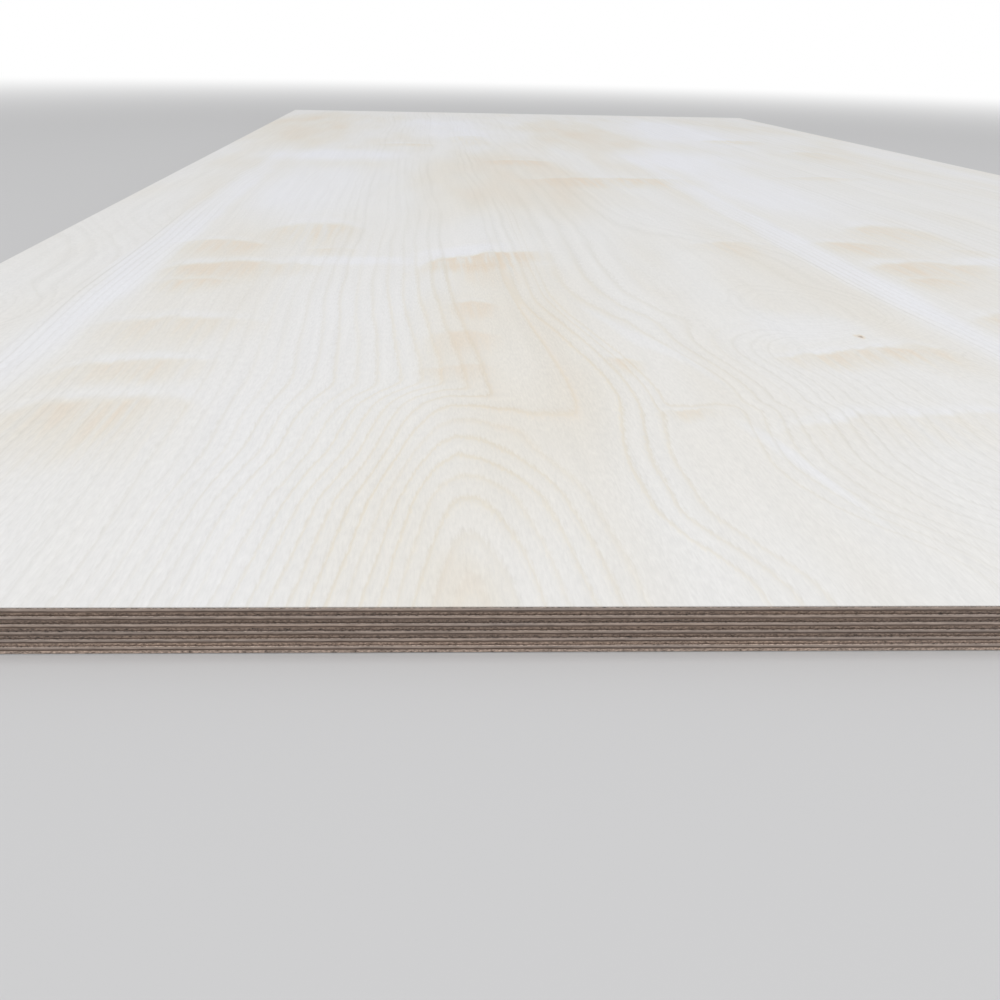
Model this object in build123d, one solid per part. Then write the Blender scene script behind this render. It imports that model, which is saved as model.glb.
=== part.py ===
"""A birch plywood sheet: rotary-cut veneers pressed together with their grain crossed,
trimmed square and sanded on both faces.

The sheet lies flat, face up. X runs across its width, Y along its length, which is also the
way the face grain runs, and Z is up. The origin is the centre of the underside.
"""
from build123d import *
import os

# Trimmed sheet, in millimetres
SHEET_WIDTH = 1220.0
SHEET_LENGTH = 2440.0

# Lay-up: one longband lies between each two crossbands, so the sheet stays balanced
CROSSBANDS = 6
INNER_THICKNESS = 1.45

# Outer veneers after sanding, which takes more off the face than off the back
FACE_THICKNESS = 0.6
BACK_THICKNESS = 1.25

# Small bevel that sanding leaves along the rim of each outer veneer
FACE_ARRIS = 0.2
BACK_ARRIS = 0.2


def lay_up():
    """The veneers from the face down, as (node name, thickness) pairs.

    The grain of the face, the back and each longband runs along the sheet, and the grain of
    each crossband runs across it.
    """
    veneers = [("face_veneer", FACE_THICKNESS)]
    for number in range(1, CROSSBANDS + 1):
        veneers.append((f"crossband_{number}", INNER_THICKNESS))
        if number < CROSSBANDS:
            veneers.append((f"longband_{number}", INNER_THICKNESS))
    veneers.append(("back_veneer", BACK_THICKNESS))
    return veneers


def trimmed_veneer(underside, thickness):
    """One veneer, cut by the panel saw to the outline that all of them share."""
    outline = Plane.XY.offset(underside) * Rectangle(SHEET_WIDTH, SHEET_LENGTH)
    return extrude(outline, amount=thickness)


def ease_arris(veneer, side, bevel):
    """Bevels the rim of the sanded side: the last face along Z of a face, the first of a back."""
    rim = veneer.faces().sort_by(Axis.Z)[side].edges()
    return chamfer(rim, length=bevel)


def build_sheet():
    """Every veneer in its place, stacked up from the underside, by node name."""
    sheet = {}
    underside = 0.0
    for name, thickness in reversed(lay_up()):
        sheet[name] = trimmed_veneer(underside, thickness)
        underside += thickness
    sheet["face_veneer"] = ease_arris(sheet["face_veneer"], -1, FACE_ARRIS)
    sheet["back_veneer"] = ease_arris(sheet["back_veneer"], 0, BACK_ARRIS)
    return sheet


os.makedirs("parts", exist_ok=True)
for node, veneer in build_sheet().items():
    export_step(veneer, f"parts/{node}.step")
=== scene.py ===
"""Finishes a birch plywood sheet: its sanded faces, its sawn edges and the studio round it.

The sheet lies on the floor with its origin under its centre. The figure of the face is laid
out in sheet coordinates, in metres: x from the left edge and y from the front edge.
"""
import logging
import math
from dataclasses import dataclass, replace
from enum import Enum
from typing import Mapping, Sequence, Union

import bpy
from mathutils import Matrix, Vector


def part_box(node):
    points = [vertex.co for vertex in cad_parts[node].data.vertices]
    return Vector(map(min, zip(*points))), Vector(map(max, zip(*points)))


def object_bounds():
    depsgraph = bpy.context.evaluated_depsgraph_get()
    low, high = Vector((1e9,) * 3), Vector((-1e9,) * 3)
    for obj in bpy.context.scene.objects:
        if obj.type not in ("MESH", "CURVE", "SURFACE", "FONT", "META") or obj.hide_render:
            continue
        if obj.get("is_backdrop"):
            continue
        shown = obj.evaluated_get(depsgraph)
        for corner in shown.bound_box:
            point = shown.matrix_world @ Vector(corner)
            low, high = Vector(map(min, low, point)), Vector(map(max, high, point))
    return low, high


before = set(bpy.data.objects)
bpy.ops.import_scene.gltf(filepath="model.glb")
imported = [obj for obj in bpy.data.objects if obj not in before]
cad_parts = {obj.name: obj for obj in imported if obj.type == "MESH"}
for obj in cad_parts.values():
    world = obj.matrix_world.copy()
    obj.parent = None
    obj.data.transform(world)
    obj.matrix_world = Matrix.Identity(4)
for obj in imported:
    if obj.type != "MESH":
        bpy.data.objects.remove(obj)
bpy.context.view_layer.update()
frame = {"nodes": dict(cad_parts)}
LOG = logging.getLogger("plywood_sheet")
MM = 0.001

Number = Union[float, "Signal"]
Span = tuple[float, float]
Triple = tuple[float, float, float]
Colour = Triple

WHITE: Colour = (1.0, 1.0, 1.0)
SRGB_TOE_END = 0.04045
SRGB_TOE_SLOPE = 12.92
SRGB_OFFSET = 0.055
SRGB_POWER = 2.4


def from_screen(red: int, green: int, blue: int) -> Colour:
    """Turns a colour as a screen shows it into the linear one that a shader needs.

    Args:
        red: The red level, from 0 to 255.
        green: The green level.
        blue: The blue level.

    Returns:
        The linear red, green and blue.
    """
    def linear(level: int) -> float:
        """One channel, without the screen's curve."""
        share = level / 255
        if share <= SRGB_TOE_END:
            return share / SRGB_TOE_SLOPE
        return ((share + SRGB_OFFSET) / (1 + SRGB_OFFSET)) ** SRGB_POWER

    return (linear(red), linear(green), linear(blue))


class Signal:
    """A number on its way through the nodes, which Python's operators work on.

    It also stands for a vector, a colour or a shader, which the recipe's own methods take.
    """

    def __init__(self, recipe: "Recipe", socket: bpy.types.NodeSocket) -> None:
        """Wraps a socket of a recipe's nodes."""
        self.recipe = recipe
        self.socket = socket

    def __add__(self, other: Number) -> "Signal":
        """The sum."""
        return self.recipe.maths("ADD", self, other)

    __radd__ = __add__

    def __sub__(self, other: Number) -> "Signal":
        """The difference."""
        return self.recipe.maths("SUBTRACT", self, other)

    def __rsub__(self, other: Number) -> "Signal":
        """The difference from a plain number."""
        return self.recipe.maths("SUBTRACT", other, self)

    def __mul__(self, other: Number) -> "Signal":
        """The product."""
        return self.recipe.maths("MULTIPLY", self, other)

    __rmul__ = __mul__

    def __truediv__(self, other: Number) -> "Signal":
        """The quotient."""
        return self.recipe.maths("DIVIDE", self, other)

    def __abs__(self) -> "Signal":
        """The size without its sign."""
        return self.recipe.maths("ABSOLUTE", self)

    def times_plus(self, factor: Number, extra: Number) -> "Signal":
        """The product with one number plus another, in one node."""
        return self.recipe.maths("MULTIPLY_ADD", self, factor, extra)

    def root(self) -> "Signal":
        """The square root."""
        return self.recipe.maths("SQRT", self)

    def fraction(self) -> "Signal":
        """What is left after the whole number below."""
        return self.recipe.maths("FRACT", self)

    def floor(self) -> "Signal":
        """The whole number below."""
        return self.recipe.maths("FLOOR", self)

    def at_least(self, low: Number) -> "Signal":
        """The number, held up to a lowest one."""
        return self.recipe.maths("MAXIMUM", self, low)

    def at_most(self, high: Number) -> "Signal":
        """The number, held down to a highest one."""
        return self.recipe.maths("MINIMUM", self, high)

    def past(self, start: Number) -> "Signal":
        """How far the number is past a start, and 0 before it."""
        return (self - start).at_least(0.0)

    def rise(self, low: float, high: float) -> "Signal":
        """A smooth step from 0 at low to 1 at high, or down from 1 if low is the higher."""
        start, end = (0.0, 1.0) if low < high else (1.0, 0.0)
        low, high = sorted((low, high))
        reach = {"From Min": low, "From Max": high, "To Min": start, "To Max": end}
        settings = {"interpolation_type": "SMOOTHSTEP"}
        return self.recipe.add("ShaderNodeMapRange", settings, {"Value": self, **reach})


class Recipe:
    """The nodes of a material, or of the world, while they are put together."""

    def __init__(self, owner: bpy.types.Material | bpy.types.World) -> None:
        """Starts the material or world afresh, with no nodes."""
        self.owner = owner
        owner.use_nodes = True
        self.nodes = owner.node_tree.nodes
        self.links = owner.node_tree.links
        self.nodes.clear()

    def add(
        self,
        kind: str,
        settings: Mapping[str, object] | None = None,
        sockets: Mapping[str | int, object] | None = None,
        output: str | int = 0,
    ) -> Signal:
        """Adds one node.

        Args:
            kind: The node's type.
            settings: Its properties, with "stops" for a ramp's (position, colour) pairs.
            sockets: The value or the link of each input, by name or place.
            output: The output that is wanted, by name or place.

        Returns:
            That output.
        """
        node = self.nodes.new(kind)
        for key, value in (settings or {}).items():
            if key == "stops":
                self._set_stops(node.color_ramp, value)
            else:
                setattr(node, key, value)
        for key, value in (sockets or {}).items():
            self._feed(node.inputs[key], value)
        return Signal(self, node.outputs[output])

    def _feed(self, socket: bpy.types.NodeSocket, value: object) -> None:
        """Gives an input its link or its value."""
        if isinstance(value, Signal):
            self.links.new(value.socket, socket)
        elif socket.type == "RGBA":
            socket.default_value = (*value, 1.0)
        else:
            socket.default_value = value

    @staticmethod
    def _set_stops(ramp: bpy.types.ColorRamp, stops: Sequence[tuple[float, Colour]]) -> None:
        """Writes a ramp's stops, over the two that it starts with."""
        while len(ramp.elements) < len(stops):
            ramp.elements.new(0.5)
        for element, (position, colour) in zip(ramp.elements, stops):
            element.position = position
            element.color = (*colour, 1.0)

    def maths(self, operation: str, *numbers: Number) -> Signal:
        """One Math node on one, two or three numbers."""
        return self.add("ShaderNodeMath", {"operation": operation}, dict(enumerate(numbers)))

    def vector(self, x: Number, y: Number, z: Number) -> Signal:
        """A vector of three numbers."""
        return self.add("ShaderNodeCombineXYZ", None, {0: x, 1: y, 2: z})

    def parts(self, vector: Signal) -> tuple[Signal, ...]:
        """A vector's x, y and z."""
        split = self.add("ShaderNodeSeparateXYZ", None, {0: vector}).socket.node
        return tuple(Signal(self, socket) for socket in split.outputs)

    def place(self) -> tuple[Signal, ...]:
        """The surface point's x, y and z in the sheet's own frame, in metres."""
        return self.parts(self.add("ShaderNodeTexCoord", output="Object"))

    def facing(self) -> tuple[Signal, ...]:
        """The flat face's outward normal, by its x, y and z."""
        return self.parts(self.add("ShaderNodeNewGeometry", output="True Normal"))

    def dot(self, vector: Signal, weights: Triple) -> Signal:
        """The dot product of a vector with fixed weights."""
        return self.add(
            "ShaderNodeVectorMath", {"operation": "DOT_PRODUCT"}, {0: vector, 1: weights}, "Value"
        )

    def ramp(self, amount: Signal, stops: Sequence[tuple[float, Colour]]) -> Signal:
        """The colour that a ramp has at an amount."""
        return self.add("ShaderNodeValToRGB", {"stops": stops}, {"Fac": amount})

    def blend(self, share: Number, first: object, second: object, how: str = "MIX") -> Signal:
        """Mixes two colours.

        Args:
            share: How much of the second colour goes in.
            first: The colour, or its link, at a share of 0.
            second: The colour, or its link, at a share of 1.
            how: The Mix node's blend type.

        Returns:
            The mixed colour.
        """
        settings = {"data_type": "RGBA", "blend_type": how}
        return self.add("ShaderNodeMix", settings, {0: share, 6: first, 7: second}, 2)

    def mix(self, share: Signal, first: Signal, second: Signal) -> Signal:
        """Mixes two shaders: the first at a share of 0 and the second at a share of 1."""
        return self.add("ShaderNodeMixShader", None, {0: share, 1: first, 2: second})

    def surface(
        self, colour: object, roughness: Number, relief: Signal | None = None, depth: float = MM
    ) -> Signal:
        """A surface that is neither metal nor glass.

        Args:
            colour: The base colour, or its link.
            roughness: The roughness, or its link.
            relief: The height of the fine relief, as a share of its depth.
            depth: The depth of the relief in metres.

        Returns:
            The surface's shader.
        """
        sockets = {"Base Color": colour, "Roughness": roughness}
        if relief is not None:
            sockets["Normal"] = self.add("ShaderNodeBump", None, {"Height": relief, "Distance": depth})
        return self.add("ShaderNodeBsdfPrincipled", None, sockets)

    def finish(
        self, shader: Signal, output: str = "ShaderNodeOutputMaterial"
    ) -> bpy.types.Material | bpy.types.World:
        """Joins the shader to an output node of that type, and hands over the material or world."""
        self._feed(self.nodes.new(output).inputs["Surface"], shader)
        return self.owner


@dataclass(frozen=True)
class Noise:
    """Soft noise, mostly between -1 and 1, that is read anywhere in space.

    Attributes:
        scale: How many waves there are to each unit of the place.
        detail: How many finer layers are added.
        rough: How strong each finer layer is beside the one before.
        share: How much a step along the log counts, so that less than 1 draws the noise out.
    """

    scale: float = 1.0
    detail: float = 2.0
    rough: float = 0.5
    share: float = 1.0

    def at(self, place: Signal) -> Signal:
        """The noise at a place."""
        return self._node(place, {"noise_dimensions": "3D", "normalize": False}, "Fac")

    def triple_at(self, place: Signal) -> Signal:
        """Three noises at a place, as a vector, each from 0 to 1 and about one half."""
        return self._node(place, {"noise_dimensions": "3D"}, "Color")

    def _node(self, place: Signal, settings: Mapping[str, object], output: str) -> Signal:
        """The noise's node."""
        sockets = {"Vector": place, "Scale": self.scale, "Detail": self.detail, "Roughness": self.rough}
        return place.recipe.add("ShaderNodeTexNoise", settings, sockets, output)


@dataclass(frozen=True)
class Step:
    """A number that goes smoothly from 0 to a height while a place goes from start to end."""

    start: float
    end: float
    height: float

    def at(self, place: Signal) -> Signal:
        """The number at a place."""
        return place.rise(self.start, self.end) * self.height


@dataclass(frozen=True)
class Stretch:
    """A stretch of evenly spaced rings: its start and end in metres, and its rings to a metre."""

    start: float
    end: float
    rings: float

    def upto(self, place: Signal) -> Signal:
        """How many of its rings lie before a place."""
        return place.past(self.start).at_most(self.end - self.start) * self.rings


@dataclass(frozen=True)
class Mark:
    """A soft oval mark on a veneer's face.

    Its place and size are in sheet coordinates and its lean is in degrees. A mark that comes
    from the inside of the log shows again on every turn.
    """

    x: float
    y: float
    width: float
    height: float
    lean: float = 0.0
    every_turn: bool = True

    def local(self, ground: "Ground") -> tuple[Signal, Signal]:
        """The place across and along the mark, where its rim is at a distance of 1."""
        across = self.x - ground.figure.arch_x
        middle = Vector((self.x, self.y - across * ground.figure.helix))
        lean = math.radians(self.lean)
        place = ground.each_turn if self.every_turn else ground.once
        axes = (
            Vector((math.cos(lean), math.sin(lean))) * (2 / self.width),
            Vector((-math.sin(lean), math.cos(lean))) * (2 / self.height),
        )
        return tuple(ground.recipe.dot(place, (*axis, -axis.dot(middle))) for axis in axes)

    def distance(self, ground: "Ground") -> Signal:
        """How far out a place is, from 0 in the middle to 1 at the rim."""
        x, y = self.local(ground)
        return x.times_plus(x, y * y).root()


@dataclass(frozen=True)
class Zone(Mark):
    """A broad patch that is a little more tan, or paler where its strength is below 0.

    Attributes:
        strength: What the zone adds to the tone in its middle.
        rim: The share of its reach over which it fades out.
    """

    strength: float = 0.5
    rim: float = 0.8

    def over(self, ground: "Ground", tone: Number) -> Signal:
        """The tone with the zone's own added."""
        return self.distance(ground).rise(1.0, 1.0 - self.rim).times_plus(self.strength, tone)


@dataclass(frozen=True)
class FlameShading(Mark):
    """A patch where the fibres dive: tan painted shade below its bowed crest, pale painted sheen just
    above it.

    Attributes:
        tan: How much painted shade it adds to the tone below the crest.
        pale: How much painted sheen it takes off the tone above the crest.
        bow: How far the crest bends down at its ends.
    """

    CREST = (-0.08, 0.10)
    FADE_OUT = (1.0, -0.3)
    PALE_SQUASH = 3

    tan: float = 1.0
    pale: float = 0.5
    bow: float = 0.3

    def over(self, ground: "Ground", tone: Number) -> Signal:
        """The tone with the flame's painted shade and sheen added."""
        x, y = self.local(ground)
        x_squared = x * x
        y = x_squared.times_plus(self.bow, y)
        up = y.rise(*self.CREST)
        tall = y.at_least(y * self.PALE_SQUASH)
        body = tall.times_plus(tall, x_squared).rise(*self.FADE_OUT)
        return body.times_plus(up.times_plus(-self.tan - self.pale, self.tan), tone)


FACE_ZONES = (
    Zone(0.108, 0.70, 0.052, 1.60, 0, strength=-0.7, rim=0.6),
    Zone(0.250, 0.18, 0.130, 0.60, 0, strength=-0.4),
    # These two thin pale zones lie along flame crests and add to their painted sheen.
    Zone(0.275, 0.517, 0.170, 0.050, -2, strength=-0.55),
    Zone(0.368, 0.566, 0.150, 0.055, 33, strength=-0.55),
    Zone(0.575, 0.33, 0.120, 0.10, 0, strength=-0.4),
    Zone(0.468, 0.29, 0.014, 0.24, 17, strength=-0.30),
    Zone(0.495, 0.11, 0.014, 0.14, 10, strength=-0.5),
    Zone(0.380, 0.29, 0.150, 0.60, 0, strength=0.75),
    Zone(0.344, 0.00, 0.034, 0.100, 0, strength=0.40, rim=0.6),
    Zone(0.620, 0.46, 0.150, 0.70, 0, False, strength=0.40, rim=0.9),
    Zone(0.170, 0.40, 0.120, 0.85, 0, strength=0.22),
    Zone(0.205, 0.95, 0.220, 0.62, 0, strength=-0.8),
    Zone(0.450, 1.05, 0.320, 0.90, 0, False, strength=0.6, rim=0.6),
    Zone(0.200, 1.33, 0.300, 0.26, 0, False, strength=-0.9),
    Zone(0.090, 1.90, 0.300, 1.30, 0, False, strength=0.55, rim=0.6),
    Zone(0.400, 1.95, 0.260, 1.00, 0, False, strength=-0.8),
    Zone(0.660, 1.75, 0.280, 1.20, 0, False, strength=0.55, rim=0.6),
    Zone(0.895, 1.90, 0.320, 1.10, 0, False, strength=-1.1),
    Zone(0.760, 1.33, 0.280, 0.50, 0, False, strength=-1.0),
    Zone(1.100, 2.10, 0.240, 0.60, 0, False, strength=0.35),
)

FACE_SWELLS = (
    Zone(0.606, 0.365, 0.135, 0.200, 0, strength=-4.5, rim=0.9),
    Zone(0.645, 0.215, 0.075, 0.110, 0, strength=-4.5, rim=0.9),
    Zone(0.600, 0.020, 0.140, 0.260, 0, strength=-2.5),
)

# Where the fibres dive: tan painted shade below each crest and pale painted sheen above it.
FACE_FLAME_SHADING = (
    FlameShading(0.175, 0.190, 0.120, 0.220, 8, tan=0.70, pale=0.35),
    FlameShading(0.170, 0.250, 0.110, 0.120, 14, tan=0.50, pale=0.45),
    FlameShading(0.172, 0.340, 0.125, 0.170, 8, tan=0.52, pale=0.25),
    FlameShading(0.168, 0.508, 0.110, 0.190, 10, tan=0.68, pale=0.50),
    FlameShading(0.228, 0.500, 0.070, 0.110, 0, tan=0.40, pale=0.20),
    FlameShading(0.160, 0.600, 0.105, 0.170, -8, tan=0.62, pale=0.20),
    FlameShading(0.160, 0.445, 0.085, 0.110, 4, tan=0.40, pale=0.15),
    FlameShading(0.230, 0.692, 0.110, 0.300, 0, tan=0.75, pale=0.25),
    FlameShading(0.255, 0.570, 0.060, 0.090, 0, tan=0.35, pale=0.0),
    FlameShading(0.372, 0.545, 0.150, 0.140, 32, tan=1.40, pale=0.15),
    FlameShading(0.372, 0.510, 0.150, 0.200, 10, tan=0.50, pale=0.0),
    FlameShading(0.367, 0.385, 0.040, 0.100, 0, tan=0.60, pale=0.15),
    FlameShading(0.358, 0.315, 0.060, 0.120, 0, tan=0.40, pale=0.0),
    FlameShading(0.350, 0.245, 0.060, 0.070, 0, tan=0.32, pale=0.0),
    FlameShading(0.448, 0.262, 0.028, 0.080, 0, tan=0.45, pale=0.05),
    FlameShading(0.585, 0.280, 0.125, 0.090, 8, tan=0.75, pale=0.35),
    FlameShading(0.625, 0.290, 0.070, 0.150, 10, tan=0.45, pale=0.20),
    FlameShading(0.575, 0.172, 0.180, 0.110, 3, tan=0.30, pale=0.50),
    FlameShading(0.462, 0.176, 0.045, 0.040, 6, tan=0.50, pale=0.05),
    FlameShading(0.620, 0.620, 0.090, 0.160, 0, False, tan=0.40, pale=0.15),
    FlameShading(0.600, 1.085, 0.320, 0.260, 0, False, tan=0.75, pale=0.15),
    FlameShading(0.490, 1.290, 0.140, 0.200, 0, False, tan=0.50, pale=0.20),
    FlameShading(0.430, 1.720, 0.100, 0.500, 0, False, tan=0.70, pale=0.15),
    FlameShading(0.310, 1.540, 0.130, 0.160, 0, False, tan=0.45, pale=0.45),
    FlameShading(0.955, 1.720, 0.160, 0.280, 0, False, tan=1.00, pale=0.20),
    FlameShading(1.030, 1.500, 0.120, 0.450, 0, False, tan=0.50, pale=0.15),
    FlameShading(0.905, 1.130, 0.190, 0.120, 0, False, tan=0.45, pale=0.20),
)

BACK_ZONES = (
    Zone(0.420, 0.30, 0.140, 0.80, 0, strength=0.6),
    Zone(0.180, 0.70, 0.060, 1.50, 0, strength=-0.7, rim=0.5),
    Zone(0.600, 1.20, 0.300, 0.90, 0, False, strength=0.6),
    Zone(0.250, 1.80, 0.320, 0.90, 0, False, strength=-0.6),
    Zone(0.950, 1.60, 0.280, 1.20, 0, False, strength=0.5),
)

# Where the back's fibres dive: painted shade below each crest and painted sheen above it.
BACK_FLAME_SHADING = (
    FlameShading(0.300, 0.350, 0.120, 0.220, 14, tan=0.50, pale=0.25),
    FlameShading(0.520, 0.720, 0.090, 0.260, -8, tan=0.45, pale=0.15),
    FlameShading(0.380, 1.150, 0.150, 0.280, 10, tan=0.45, pale=0.20),
    FlameShading(0.620, 1.550, 0.110, 0.320, 16, tan=0.50, pale=0.25),
    FlameShading(0.850, 2.050, 0.180, 0.340, -6, False, tan=0.45, pale=0.20),
)


class Ground:
    """The places on a veneer's face that its figure is worked out from."""

    GRAIN = Noise(detail=2.0, rough=0.6)
    GRAIN_WAVES = (900, 150)
    STREAKS = Noise(160.0, detail=2.0, rough=0.6, share=0.06)
    MOTTLE = Noise(70.0, detail=1.0, share=0.2)
    STIR = Noise(26.0, detail=1.0, share=0.4)

    def __init__(self, recipe: Recipe, figure: "Figure", x: Signal, y: Signal) -> None:
        """Works the places out.

        Args:
            recipe: The material that the figure is for.
            figure: The figure.
            x: The place across the sheet, from its left edge.
            y: The place along the sheet, from its front edge.
        """
        self.recipe = recipe
        self.figure = figure
        turn = figure.turn
        across, along = self.GRAIN_WAVES
        self.grain = self.GRAIN.at(recipe.vector(x * across, y * along, figure.seed))
        self.u = ((x - figure.seam) / turn).fraction() * turn - (figure.arch_x - figure.seam)
        self.v = y - (x - figure.arch_x) * figure.helix
        angle = self.u * (2 * math.pi / turn)
        radius = x * figure.spiral + turn / (2 * math.pi)
        self.log_x = recipe.maths("COSINE", angle) * radius + figure.seed
        self.log_y = recipe.maths("SINE", angle) * radius
        self.streaks = self.noise(self.STREAKS)
        self.mottle = self.noise(self.MOTTLE)
        frayed = self.streaks.times_plus(figure.fray, self.v)
        sway = recipe.add(
            "ShaderNodeVectorMath",
            {"operation": "MULTIPLY_ADD"},
            {
                0: self.STIR.triple_at(self.stretched(self.STIR.share)),
                1: figure.sway,
                2: tuple(-amount / 2 for amount in figure.sway),
            },
        )
        self.each_turn = self.swayed(self.u + figure.arch_x, frayed, sway)
        self.once = self.swayed(x, frayed, sway)

    def stretched(self, share: float) -> Signal:
        """The place in the log, with only a share of the distance along it."""
        return self.recipe.vector(self.log_x, self.log_y, self.v * share)

    def noise(self, kind: Noise) -> Signal:
        """Noise of a kind, as it runs through the log."""
        return kind.at(self.stretched(kind.share))

    def swayed(self, x: Signal, y: Signal, sway: Signal) -> Signal:
        """A flat place with 1 for its z, moved about so that marks there lose their even outline."""
        place = self.recipe.vector(x, y, 1.0)
        return self.recipe.add("ShaderNodeVectorMath", {"operation": "ADD"}, {0: place, 1: sway})


@dataclass(frozen=True)
class Arch:
    """Rings nested round a row of tips, which lie along the arch's middle line.

    Lengths are in metres. Spacings are in rings to a metre. A blunt is how far out a tip is round.

    Attributes:
        foot, climb: How far below 0 the count starts, and the spacing up the middle line.
        upper, upper_climb: The height past which the rings are closer there, and by how much.
        near, far_share: The distances out between which the climb drops, and the share that is left.
        top: The heights over which the tips get blunter.
        left_blunt, right_blunt: The blunt of the tips at the front edge.
        left_widening, right_widening: How much it grows with each metre up.
        left_top, right_top: How much more it is past the top heights.
        left_open, left_opening: The height past which the left side opens out, and how fast.
        left_rings, right_rings: The spacing of the legs.
        left_core, left_core_rings: How far out the left legs are closer, and by how much.
        right_flank, right_flank_rings: How far out the right legs get closer, and by how much.
        shelf, shelf_rings: The heights over which more rings crowd in, and how many they are.
        shelf_reach: How far left of the middle line they have ended, and start to end.
    """

    foot: float = 1.64
    climb: float = 31.2
    upper: float = 0.078
    upper_climb: float = 17
    near: Span = (0.14, 0.04)
    far_share: float = 0.6
    top: Span = (0.12, 0.195)
    left_blunt: float = 0.009
    left_widening: float = 0.08
    left_top: float = 0.012
    left_open: float = 0.19
    left_opening: float = 0.10
    left_rings: float = 160
    left_core: float = 0.04
    left_core_rings: float = 35
    right_blunt: float = 0.002
    right_widening: float = 0.24
    right_top: float = 0.08
    right_rings: float = 118
    right_flank: float = 0.06
    right_flank_rings: float = 74
    shelf: Span = (0.18, 0.26)
    shelf_reach: Span = (0.09, 0.01)
    shelf_rings: float = 4

    def count(self, u: Signal, v: Signal) -> Signal:
        """The ring count at a place.

        Args:
            u: How far the place is to the right of the middle line.
            v: How far it is up from the front edge.

        Returns:
            The count.
        """
        up = v.at_least(0.0)
        top = v.rise(*self.top)
        left = (0.0 - u).at_least(0.0)
        blunt = up.times_plus(self.left_widening, top * self.left_top)
        blunt = blunt + v.past(self.left_open) * self.left_opening + self.left_blunt
        legs = self.leg(left, blunt) * self.left_rings
        legs = legs + left.at_most(self.left_core) * self.left_core_rings
        right = u.at_least(0.0)
        blunt = up.times_plus(self.right_widening, top * self.right_top) + self.right_blunt
        legs = legs + self.leg(right, blunt) * self.right_rings
        legs = legs + right.past(self.right_flank) * self.right_flank_rings
        climb = v * self.climb + v.past(self.upper) * self.upper_climb - self.foot
        tips = climb * ((left + right).rise(*self.near) * (1 - self.far_share) + self.far_share)
        return legs + tips + v.rise(*self.shelf) * left.rise(*self.shelf_reach) * self.shelf_rings

    @staticmethod
    def leg(away: Signal, blunt: Signal) -> Signal:
        """How far out a leg's line is, round a blunt tip."""
        return away.times_plus(away, blunt * blunt).root() - blunt


@dataclass(frozen=True)
class Hollow:
    """Rings over the long hollow to the right of the arch, and on either side of it.

    Lengths are in metres, and places across are from the arch's middle line.

    Attributes:
        floor: The ring count in the hollow.
        left, left_back: Its left end, and how far that moves left up the sheet.
        wall: The rings from there to the left.
        last_wall, last_wall_rings: Where the wall's last, even rings start, and their spacing.
        gap, gap_right: The heights below which, and the places right of which, the wall ends.
        right, right_out: Its right end, and how far that moves right beside the arch's top.
        right_back, right_foot: How far it moves left up the sheet, and right at the front edge.
        bank, bank_rings: How far right of that end the close rings reach, and their spacing.
        ledge, ledge_up, ledge_rings: The reach and the heights over which a ledge adds its rings.
        plain: How far right of that end the even rings start.
        plain_foot, plain_up: How much nearer they start above the foot, and up the sheet.
        plain_turn, plain_rings: The heights over which they thin out, and their spacing below.
        plain_loss: How much less the spacing is above.
        fan, fan_rings: The places across over which the rings fan out, and how many that takes off.
        fan_in, fan_out: The heights over which the fan comes in, and goes out.
    """

    floor: float = 5.3
    left: float = 0.068
    left_back: Step = Step(0.2, 0.45, 0.012)
    wall: tuple[Stretch, ...] = (
        Stretch(0.0, 0.008, 100),
        Stretch(0.008, 0.045, 11),
        Stretch(0.045, 0.21, 88),
    )
    last_wall: float = 0.21
    last_wall_rings: float = 165
    gap: Span = (0.19, 0.14)
    gap_right: Span = (-0.01, 0.02)
    right: float = 0.070
    right_out: Step = Step(0.1, 0.2, 0.012)
    right_back: Step = Step(0.19, 0.42, 0.03)
    right_foot: Step = Step(0.07, 0.0, 0.022)
    bank: float = 0.031
    bank_rings: float = 96
    ledge: Span = (0.02, 0.03)
    ledge_up: Span = (0.165, 0.185)
    ledge_rings: float = 0.8
    plain: float = 0.082
    plain_foot: Step = Step(0.02, 0.11, 0.018)
    plain_up: Step = Step(0.2, 0.45, 0.035)
    plain_turn: Span = (0.24, 0.34)
    plain_rings: float = 125
    plain_loss: float = 75
    fan: Span = (0.15, 0.25)
    fan_in: Span = (0.25, 0.40)
    fan_out: Span = (0.8, 0.5)
    fan_rings: float = 5

    def count(self, u: Signal, v: Signal) -> Signal:
        """The ring count at a place.

        Args:
            u: How far the place is to the right of the arch's middle line.
            v: How far it is up from the front edge.

        Returns:
            The count.
        """
        left = (self.left - self.left_back.at(v) - u).at_least(0.0)
        first, *others = self.wall
        wall = first.upto(left)
        for stretch in others:
            wall = wall + stretch.upto(left)
        wall = wall + left.past(self.last_wall) * self.last_wall_rings
        wall = wall * (1 - v.rise(*self.gap) * u.rise(*self.gap_right))
        edge = self.right_out.at(v) - self.right_back.at(v) + self.right_foot.at(v) + self.right
        right = u.past(edge)
        plain = self.plain - self.plain_foot.at(v) - self.plain_up.at(v)
        bank = right.at_most(self.bank) * self.bank_rings
        bank = bank + right.rise(*self.ledge) * v.rise(*self.ledge_up) * self.ledge_rings
        beyond = right.past(plain)
        bank = bank + beyond * v.rise(*self.plain_turn).times_plus(-self.plain_loss, self.plain_rings)
        fan = v.rise(*self.fan_in) * v.rise(*self.fan_out) * u.rise(*self.fan) * self.fan_rings
        return wall + bank - fan + self.floor


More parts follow.
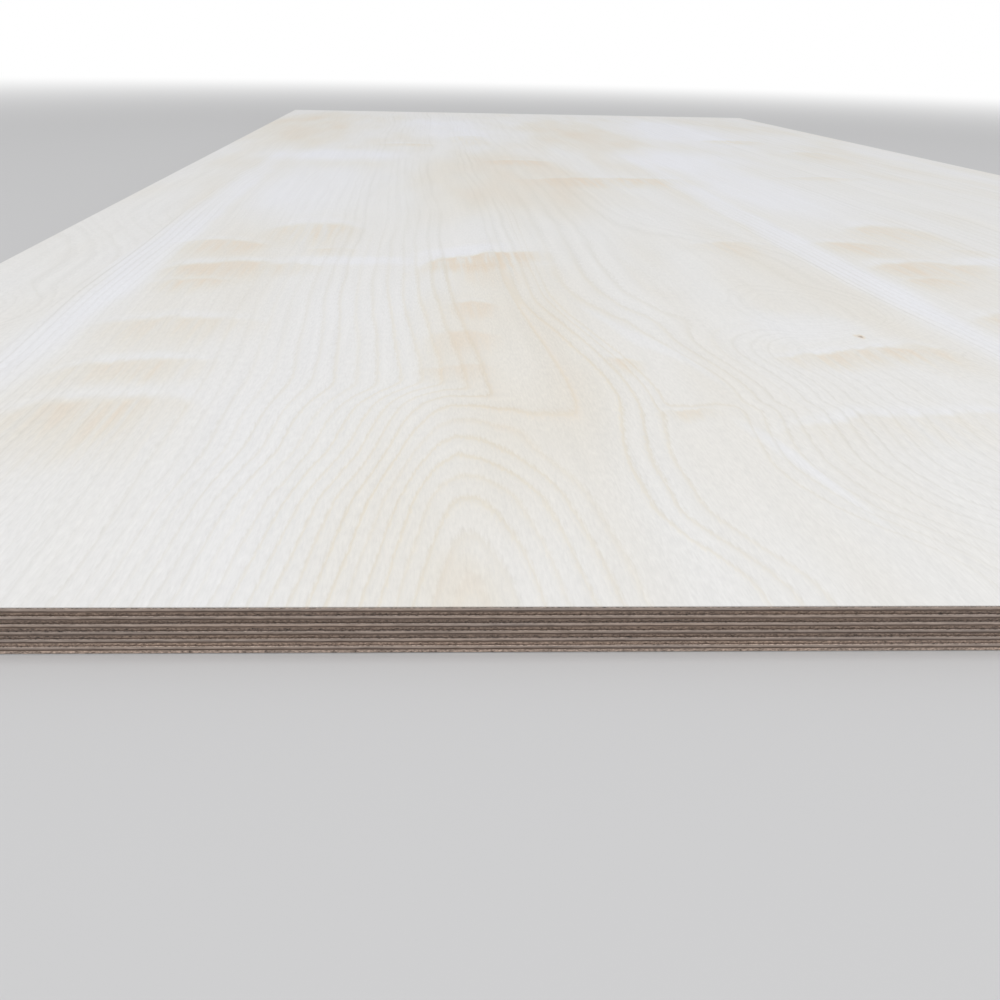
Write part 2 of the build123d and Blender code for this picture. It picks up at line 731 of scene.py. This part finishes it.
@dataclass(frozen=True)
class RingLines:
    """The thin lines at the ends of the rings.

    Strengths are shares of the full line, and heights are in metres.

    Attributes:
        end, half_width: The part of a ring at which its line lies, and half the line's width.
        soft_up, softness: The heights over which the lines get broader, and by how much.
        bold_ring, boldness: The ring with the boldest line, and how much is added to it.
        least, luck: The strength of the faintest line, and how much chance adds to the others.
        fading, fading_part, steady: The noise by which a line comes and goes, how much of it
            counts, and the strength that it is added to.
        far: How much the lines fade, up the sheet.
        quiet_left, quiet_reach: How far left of the arch a quiet column lies, and its reach.
        quiet_right: The places across over which the lines get quiet on the right.
        quiet, quiet_up: How quiet they get, and how much more so up the sheet.
        core: The ring counts over which the lines come up out of the arch's core.
    """

    FULL_BOLD = (0.6, 0.4)

    end: float = 0.8
    half_width: float = 0.17
    soft_up: Span = (0.2, 0.6)
    softness: float = 0.35
    bold_ring: float = 5.0
    boldness: float = 0.35
    least: float = 0.35
    luck: float = 0.6
    fading: Noise = Noise(18.0, detail=0.0, share=0.3)
    fading_part: float = 0.5
    steady: float = 0.8
    far: Step = Step(0.4, 1.0, 0.53)
    quiet_left: float = 0.155
    quiet_reach: Span = (0.085, 0.055)
    quiet_right: Span = (0.14, 0.22)
    quiet: float = 0.20
    quiet_up: Step = Step(0.15, 0.30, 0.37)
    core: Span = (-0.9, 0.5)

    def strength(self, ground: Ground, count: Signal) -> Signal:
        """How strong a line is at a place, from 0 between the lines.

        Args:
            ground: The places on the face.
            count: The ring count.

        Returns:
            The strength.
        """
        u, v = ground.u, ground.v
        away = abs(count.fraction() - self.end)
        line = (away * v.rise(*self.soft_up).times_plus(-self.softness, 1.0)).rise(self.half_width, 0.0)
        ring = count.floor()
        settings = {"noise_dimensions": "1D"}
        luck = ground.recipe.add("ShaderNodeTexWhiteNoise", settings, {"W": ring + ground.figure.seed})
        bold = abs(ring - self.bold_ring).rise(*self.FULL_BOLD) * self.boldness
        fade = ground.noise(self.fading) * self.fading_part + (self.steady - self.far.at(v))
        quiet = abs(u + self.quiet_left).rise(*self.quiet_reach) + u.rise(*self.quiet_right)
        fade = fade * (1 - quiet * (self.quiet_up.at(v) + self.quiet)) * count.rise(*self.core)
        return line * (luck * self.luck + bold + self.least) * fade


@dataclass(frozen=True)
class Figure:
    """The figure of a rotary-cut veneer, which comes round again with every turn of the log.

    Attributes:
        turn: How far across the sheet one turn of the log reaches, in metres.
        seam, arch_x: Where a turn starts, and the arch's middle line, from the sheet's left edge.
        helix: How far the figure moves up the sheet with each metre across.
        spiral: How much the log's radius grows with each metre across.
        sway, fray: How far the marks' outlines are moved about, and drawn out by the streaks.
        seed: The part of the noise that is used.
        arch, hollow, lines: The rings of the arch and of the hollow beside it, and their lines.
        zones, flames: The broad patches of tone, and those where the fibres dive, drawn with painted
            shade and painted sheen.
        swells: Zones that change the ring count, so that the lines bend round them.
        knot: The pin knot.
    """

    MEANDER = Noise(6.0, detail=1.0, rough=0.45, share=0.35)
    MEANDER_LEAST = 0.003
    MEANDER_UP = Step(0.3, 0.9, 0.014)
    JOIN_SOFTNESS = 1.0
    RING_GRAIN = 0.10
    RING_MOTTLE = 0.14
    DENSITY_WAVES = {"Scale": 2.4, "Detail": 1.0, "Roughness": 0.7}
    DENSITY_SHADE = 0.016
    STREAK_SHADE = 0.022
    GRAIN_SHADE = 0.056
    WARM_MIDDLE = 0.02
    WARM_REACH = (0.19, 0.06)
    WARM_HEIGHT = (0.7, 0.3)
    CLOUDS = Noise(14.0, detail=1.0, rough=0.55, share=0.25)
    CLOUD_TONE = 0.35
    CLOUD_UP = Step(0.6, 1.4, 0.08)
    STREAK_TONE = 0.7
    MOTTLE_TONE = 0.5

    turn: float = 0.575
    seam: float = 0.085
    arch_x: float = 0.345
    helix: float = 0.05
    spiral: float = 0.02
    sway: Triple = (0.020, 0.020, 0.0)
    fray: float = 0.004
    seed: float = 0.0
    arch: Arch = Arch()
    hollow: Hollow = Hollow()
    lines: RingLines = RingLines()
    zones: tuple[Zone, ...] = ()
    swells: tuple[Zone, ...] = ()
    flame_shading: tuple[FlameShading, ...] = ()
    knot: Mark = Mark(0.604, 0.305, 0.010, 0.013)

    def rings(self, ground: Ground) -> Signal:
        """Counts the growth rings that the knife has passed.

        Args:
            ground: The places on the face.

        Returns:
            The count, which rises by 1 from one ring to the next.
        """
        meander = ground.noise(self.MEANDER) * (self.MEANDER_UP.at(ground.v) + self.MEANDER_LEAST)
        u = ground.u + meander
        arch = self.arch.count(u, ground.v)
        hollow = self.hollow.count(u, ground.v)
        for swell in self.swells:
            hollow = swell.over(ground, hollow)
        count = ground.recipe.maths("SMOOTH_MIN", arch, hollow, self.JOIN_SOFTNESS)
        return ground.grain.times_plus(self.RING_GRAIN, ground.mottle.times_plus(self.RING_MOTTLE, count))

    def shade(self, ground: Ground, count: Signal) -> Signal:
        """How bright the wood is, about 1: its fibres, and the denser and looser wood in each ring."""
        settings = {"noise_dimensions": "1D", "normalize": False}
        density = ground.recipe.add("ShaderNodeTexNoise", settings, {"W": count, **self.DENSITY_WAVES})
        grain = ground.grain.times_plus(self.GRAIN_SHADE, 1.0)
        return density.times_plus(self.DENSITY_SHADE, ground.streaks.times_plus(self.STREAK_SHADE, grain))

    def warmth(self, ground: Ground) -> Signal:
        """How near the arch a place is, where the lines are warm, from 0 far off to 1."""
        return abs(ground.u - self.WARM_MIDDLE).rise(*self.WARM_REACH) * ground.v.rise(*self.WARM_HEIGHT)

    def tone(self, ground: Ground) -> Signal:
        """How tan the wood between the lines is: 0 is its own cream, and below that is paler."""
        tone = ground.noise(self.CLOUDS)
        tone = tone * (self.CLOUD_UP.at(ground.v) + self.CLOUD_TONE)
        for zone in self.zones:
            tone = zone.over(ground, tone)
        # Each flame patch adds painted shade below its crest and painted sheen above it.
        flame_shading = 0.0
        for flame in self.flame_shading:
            flame_shading = flame.over(ground, flame_shading)
        mottle = ground.mottle.times_plus(self.MOTTLE_TONE, 1.0)
        return flame_shading.times_plus(ground.streaks.times_plus(self.STREAK_TONE, mottle), tone)


@dataclass(frozen=True)
class FaceFinish:
    """A sanded birch face: its ring lines, flames and fine grain.

    Attributes:
        figure: The face's figure.
        tones: The wood's colours from its palest tone to its most tan one.
        lowest_tone: The tone that has the first of them.
        highest_tone: The tone that has the last.
        line: What a ring's line leaves of the wood's colour.
        warm_line: What it leaves near the arch.
        twig: The colour of the pin knot.
        roughness: The roughness, about which the grain varies it.
    """

    HALO_BEFORE = 0.05
    HALO_WIDTH = 0.36
    HALO_TONE = 0.15
    KNOT_STAIN = (1.0, 0.5)
    KNOT_TONE = 0.9
    KNOT_TWIG = (0.50, 0.15)
    GRAIN_ROUGHNESS = 0.06
    GRAIN_DEPTH = 0.02 * MM

    figure: Figure
    tones: tuple[tuple[float, Colour], ...] = (
        (0.00, from_screen(236, 237, 242)),
        (0.25, from_screen(232, 231, 229)),
        (0.375, from_screen(229, 225, 217)),
        (0.50, from_screen(227, 217, 203)),
        (0.75, from_screen(223, 208, 187)),
        (1.00, from_screen(216, 197, 169)),
    )
    lowest_tone: float = -1.0
    highest_tone: float = 3.0
    line: Colour = (0.900, 0.895, 0.875)
    warm_line: Colour = (0.962, 0.935, 0.875)
    twig: Colour = from_screen(178, 160, 147)
    roughness: float = 0.55

    def shader(self, recipe: Recipe, half: Vector) -> Signal:
        """Adds the face to a material.

        Args:
            recipe: The material.
            half: Half the sheet's width and length.

        Returns:
            The face's shader.
        """
        figure = self.figure
        x, y, _ = recipe.place()
        x, y = x + half.x, y + half.y
        ground = Ground(recipe, figure, x, y)
        count = figure.rings(ground)
        lines = figure.lines.strength(ground, count)
        shade = figure.shade(ground, count)
        warmth = figure.warmth(ground)
        before = abs(count.fraction() - (figure.lines.end - self.HALO_BEFORE))
        halo = before.rise(self.HALO_WIDTH, 0.0) * warmth
        knot = figure.knot.distance(ground)
        tone = halo.times_plus(self.HALO_TONE, figure.tone(ground))
        tone = tone + knot.rise(*self.KNOT_STAIN) * self.KNOT_TONE
        span = self.highest_tone - self.lowest_tone
        wood = recipe.ramp((tone - self.lowest_tone) / span, self.tones)
        wood = recipe.blend(1.0, wood, shade, "MULTIPLY")
        stain = recipe.blend(warmth, self.line, self.warm_line)
        colour = recipe.blend(lines, wood, recipe.blend(1.0, wood, stain, "MULTIPLY"))
        colour = recipe.blend(knot.rise(*self.KNOT_TWIG), colour, self.twig)
        roughness = ground.grain * self.GRAIN_ROUGHNESS + self.roughness
        return recipe.surface(colour, roughness, ground.grain, self.GRAIN_DEPTH)


class Grain(Enum):
    """The way a veneer's fibres run."""

    ALONG = "along the sheet"
    ACROSS = "across the sheet"


@dataclass(frozen=True)
class EdgeFinish:
    """The sawn edge of one veneer, dark with glue where it meets the next one.

    Attributes:
        grain: The way the veneer's fibres run.
        seed: The part of the noise that is used.
        light: How brightly an edge is lit, where 1 shows a colour as it is written.
        soak: How far the glue is drawn up into the veneer, in metres.
        brightness: How bright this veneer is drawn beside the others: its own lightness, and in the
            lowest long-grain band partly painted bounce light from below.
        fibre: The colour where the saw runs along the fibres.
        pore: The colour where it cuts across them.
        glue: The colour of the glue line.
    """

    ROUGHNESS = 0.85
    SAW_DEPTH = 0.05 * MM
    SHORT_SIDE = (0.4, 0.6)
    RAGGED = Noise(detail=3.0, rough=0.6)
    RAGGED_WAVES = (180, 700)
    RAGGED_HEIGHT = 0.05
    RAGGED_SHADE = 0.1
    SPECKS = Noise(detail=2.0, rough=0.7)
    SPECK_WAVES = (900, 1900)
    SPECK_WAVES_LOST = 700
    SPECK_SHADE = 0.8
    SPECK_SHADE_LOST = 0.7
    SPECK_SEED = 9
    PATCHES = Noise(detail=2.0)
    PATCH_WAVES = (17, 60)
    PATCH_SEEDS = 3
    PATCH_TINT = (0.14, 0.11, 0.07)
    GLUE_FADE = (0.0, 0.45)
    GLUE_START = (-0.12, 0.0)

    grain: Grain
    seed: float
    light: float = 0.56
    soak: float = 0.32 * MM
    brightness: float = 1.0
    fibre: Colour = from_screen(147, 133, 124)
    pore: Colour = from_screen(110, 95, 85)
    glue: Colour = from_screen(62, 48, 40)

    def shader(self, recipe: Recipe, low: float, high: float) -> Signal:
        """Adds the edge to a material.

        Args:
            recipe: The material.
            low: The height of the veneer's underside.
            high: The height of its upper side.

        Returns:
            The edge's shader.
        """
        x, y, z = recipe.place()
        _, facing_y, _ = recipe.facing()
        short = abs(facing_y).rise(*self.SHORT_SIDE)
        run = x * short + y * (1 - short) + self.seed
        long_grain = short if self.grain is Grain.ACROSS else 1 - short
        along, through = self.RAGGED_WAVES
        ragged = self.RAGGED.at(recipe.vector(run * along, z * through, self.seed))
        along, through = self.SPECK_WAVES
        along = run * (along - long_grain * self.SPECK_WAVES_LOST)
        specks = self.SPECKS.at(recipe.vector(along, z * through, self.seed + self.SPECK_SEED))
        along, through = self.PATCH_WAVES
        patches = self.PATCHES.at(recipe.vector(run * along, z * through, self.seed * self.PATCH_SEEDS))
        height = (z - (low + self.soak)) / (high - low) + ragged * self.RAGGED_HEIGHT
        wood = recipe.blend(long_grain, self.lit(self.pore), self.lit(self.fibre))
        core = height.rise(*self.GLUE_FADE)
        wood = recipe.blend(core, self.lit(self.glue), wood)
        beneath = recipe.blend(long_grain, self.lit(self.fibre), self.lit(self.pore))
        wood = recipe.blend(height.rise(*self.GLUE_START), beneath, wood)
        shade = specks * (1.0 - long_grain * self.SPECK_SHADE_LOST) * self.SPECK_SHADE
        shade = (shade + ragged * self.RAGGED_SHADE + 1.0) * self.brightness
        tint = recipe.vector(*(shade + patches * share for share in self.PATCH_TINT))
        colour = recipe.blend(1.0, wood, tint, "MULTIPLY")
        return recipe.surface(colour, self.ROUGHNESS, specks, self.SAW_DEPTH)

    def lit(self, colour: Colour) -> Colour:
        """The base colour that shows as a screen colour in the light that an edge gets."""
        return tuple(channel / self.light for channel in colour)


class PlywoodSheet:
    """The sheet's veneers, as the CAD model has them, and the finish that each one wears."""

    FACES = {
        "face_veneer": FaceFinish(Figure(zones=FACE_ZONES, swells=FACE_SWELLS, flame_shading=FACE_FLAME_SHADING)),
        "back_veneer": FaceFinish(
            Figure(turn=0.56, seam=0.26, arch_x=0.50, seed=5.0, zones=BACK_ZONES, flame_shading=BACK_FLAME_SHADING)
        ),
    }
    OUTER_EDGES = {
        "face_veneer": {"pore": from_screen(94, 83, 76)},
        # The back veneer's edge is drawn lighter across its fibres: painted bounce light from below,
        # besides having no glue drawn up from beneath.
        "back_veneer": {"pore": from_screen(148, 131, 120), "soak": 0.0},
    }
    # longband_5's lift is partly painted bounce light from below; the other steps are the veneers' own
    # lightness.
    VENEER_BRIGHTNESS_AND_BOUNCE = {"longband_2": 0.85, "crossband_3": 1.06, "crossband_4": 0.92, "longband_5": 1.48}
    SEED_STEP = 1.7
    FLAT = (0.5, 0.8)

    def __init__(self, nodes: Mapping[str, bpy.types.Object]) -> None:
        """Reads the sheet's size from its face veneer."""
        self.nodes = nodes
        low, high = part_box("face_veneer")
        self.half = (high - low) / 2

    def dress(self) -> None:
        """Gives every veneer its material."""
        for number, name in enumerate(sorted(self.nodes), 1):
            grain = Grain.ACROSS if name.startswith("crossband") else Grain.ALONG
            edge = EdgeFinish(grain, self.SEED_STEP * number, brightness=self.VENEER_BRIGHTNESS_AND_BOUNCE.get(name, 1.0))
            edge = replace(edge, **self.OUTER_EDGES.get(name, {}))
            self.nodes[name].material_slots[0].material = self.veneer(name, edge, self.FACES.get(name))
            LOG.info("dressed %s, grain %s", name, grain.value)

    def veneer(self, name: str, edge: EdgeFinish, face: FaceFinish | None) -> bpy.types.Material:
        """Makes a veneer's material.

        Args:
            name: The veneer's node.
            edge: The finish of its edges.
            face: The finish of its sanded side, if it is an outer one.

        Returns:
            The material.
        """
        recipe = Recipe(bpy.data.materials.new(f"birch_{name}"))
        low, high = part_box(name)
        shader = edge.shader(recipe, low.z, high.z)
        if face is not None:
            _, _, facing_z = recipe.facing()
            flat = abs(facing_z).rise(*self.FLAT)
            shader = recipe.mix(flat, shader, face.shader(recipe, self.half))
        return recipe.finish(shader)


@dataclass(frozen=True)
class Viewpoint:
    """The photograph's camera.

    Attributes:
        from_left: How far it is to the right of the sheet's left edge, in metres.
        from_front: How far it is beyond the front edge, where below 0 is in front of the sheet.
        above_face: How far it is above the face.
        pitch, yaw, roll: How far it looks down and to the right, and leans, in degrees.
        lens, sensor: Its focal length, and the width of its sensor, in millimetres.
        shift_x, shift_y: How far the picture is shifted, as a share of its width.
        nearest, farthest: The distances between which it sees, in metres.
    """

    from_left: float = 0.3274
    from_front: float = -0.2434
    above_face: float = 0.1595
    pitch: float = 26.063
    yaw: float = 2.411
    roll: float = -1.224
    lens: float = 32.756
    sensor: float = 36.0
    shift_x: float = 0.0504
    shift_y: float = -0.0074
    nearest: float = 0.01
    farthest: float = 200.0

    def matrix(self, low: Vector, high: Vector) -> Matrix:
        """Where the camera stands and how it is turned.

        Args:
            low: The lowest corner of the sheet's box.
            high: Its highest corner.

        Returns:
            The camera's matrix.
        """
        place = Vector((low.x + self.from_left, low.y + self.from_front, high.z + self.above_face))
        turn = (
            Matrix.Rotation(math.radians(-self.yaw), 4, "Z")
            @ Matrix.Rotation(math.radians(90 - self.pitch), 4, "X")
            @ Matrix.Rotation(math.radians(-self.roll), 4, "Z")
        )
        return Matrix.Translation(place) @ turn


@dataclass(frozen=True)
class Lamp:
    """A soft lamp that shines straight down: its place and size in metres, and its power in watts."""

    name: str
    place: Triple
    size: Span
    power: float

    def hang(self) -> None:
        """Hangs the lamp in the scene."""
        light = bpy.data.lights.new(self.name, "AREA")
        light.shape = "RECTANGLE"
        light.size, light.size_y = self.size
        light.energy = self.power
        holder = bpy.data.objects.new(self.name, light)
        holder.location = self.place
        holder.visible_camera = False
        bpy.context.scene.collection.objects.link(holder)


class Studio:
    """The floor, the lamps, the pale background and the camera."""

    LAMPS = (
        Lamp("softbox", place=(0.0, -1.2, 6.0), size=(4.0, 4.0), power=142.0),
        Lamp("front_lamp", place=(-0.2, -1.4, 0.85), size=(1.0, 0.3), power=1.3),
    )
    AMBIENT = 0.5
    FLOOR_COLOUR = from_screen(206, 206, 207)
    FLOOR_ROUGHNESS = 0.9
    FLOOR_RADIUS = 40.0
    FLOOR_CORNERS = 96
    FLOOR_GAP = 0.2 * MM
    FLOOR_FADE = (1.2, 4.6)

    def build(self) -> None:
        """Sets the whole studio up."""
        self.floor()
        self.world()
        for lamp in self.LAMPS:
            lamp.hang()
        self.camera(Viewpoint())

    @staticmethod
    def sees_background(recipe: Recipe) -> Signal:
        """1 for the rays that should see the background: camera, glossy and transmission."""
        path = recipe.add("ShaderNodeLightPath").socket.node
        names = ("Is Camera Ray", "Is Glossy Ray", "Is Transmission Ray")
        camera, glossy, through = (Signal(recipe, path.outputs[name]) for name in names)
        return camera.at_least(glossy).at_least(through)

    def floor(self) -> None:
        """A plain pale floor, seen from above, which fades into the background far off.

        It is clear from below and to the light, so that the sheet's underside can be looked at.
        """
        bpy.ops.object.select_all(action="DESELECT")
        bpy.ops.mesh.primitive_circle_add(
            vertices=self.FLOOR_CORNERS,
            radius=self.FLOOR_RADIUS,
            fill_type="NGON",
            location=(0.0, 0.0, -self.FLOOR_GAP),
        )
        floor = bpy.context.object
        floor.name = "floor"
        recipe = Recipe(bpy.data.materials.new("studio_floor"))
        x, y, _ = recipe.place()
        far = (x * x + y * y).root().rise(*self.FLOOR_FADE)
        near = recipe.surface(self.FLOOR_COLOUR, self.FLOOR_ROUGHNESS)
        glow = recipe.add("ShaderNodeEmission", None, {"Color": WHITE, "Strength": 1.0})
        top = recipe.mix(far, near, glow)
        from_below = recipe.add("ShaderNodeNewGeometry", output="Backfacing")
        seen = self.sees_background(recipe) * (1 - from_below)
        clear = recipe.add("ShaderNodeBsdfTransparent")
        floor.data.materials.append(recipe.finish(recipe.mix(seen, clear, top)))
        floor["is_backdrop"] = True

    def world(self) -> None:
        """Even light from all round, and white where a ray looks for the background."""
        world = bpy.data.worlds.new("studio")
        bpy.context.scene.world = world
        recipe = Recipe(world)
        seen = self.sees_background(recipe)
        ambient = recipe.add("ShaderNodeBackground", None, {"Strength": self.AMBIENT, "Color": WHITE})
        white = recipe.add("ShaderNodeBackground", None, {"Color": WHITE})
        recipe.finish(recipe.mix(seen, ambient, white), "ShaderNodeOutputWorld")

    @staticmethod
    def camera(viewpoint: Viewpoint) -> None:
        """Stands the camera where the photograph was taken from."""
        data = bpy.data.cameras.new("camera")
        data.lens = viewpoint.lens
        data.sensor_width = viewpoint.sensor
        data.shift_x, data.shift_y = viewpoint.shift_x, viewpoint.shift_y
        data.clip_start, data.clip_end = viewpoint.nearest, viewpoint.farthest
        camera = bpy.data.objects.new("camera", data)
        camera.matrix_world = viewpoint.matrix(*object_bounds())
        bpy.context.scene.collection.objects.link(camera)
        bpy.context.scene.camera = camera


def main() -> None:
    """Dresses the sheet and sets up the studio."""
    logging.basicConfig(level=logging.INFO, format="%(name)s: %(message)s")
    PlywoodSheet(frame["nodes"]).dress()
    Studio().build()
    bpy.context.scene.view_settings.view_transform = "Standard"


if __name__ == "__main__":
    main()
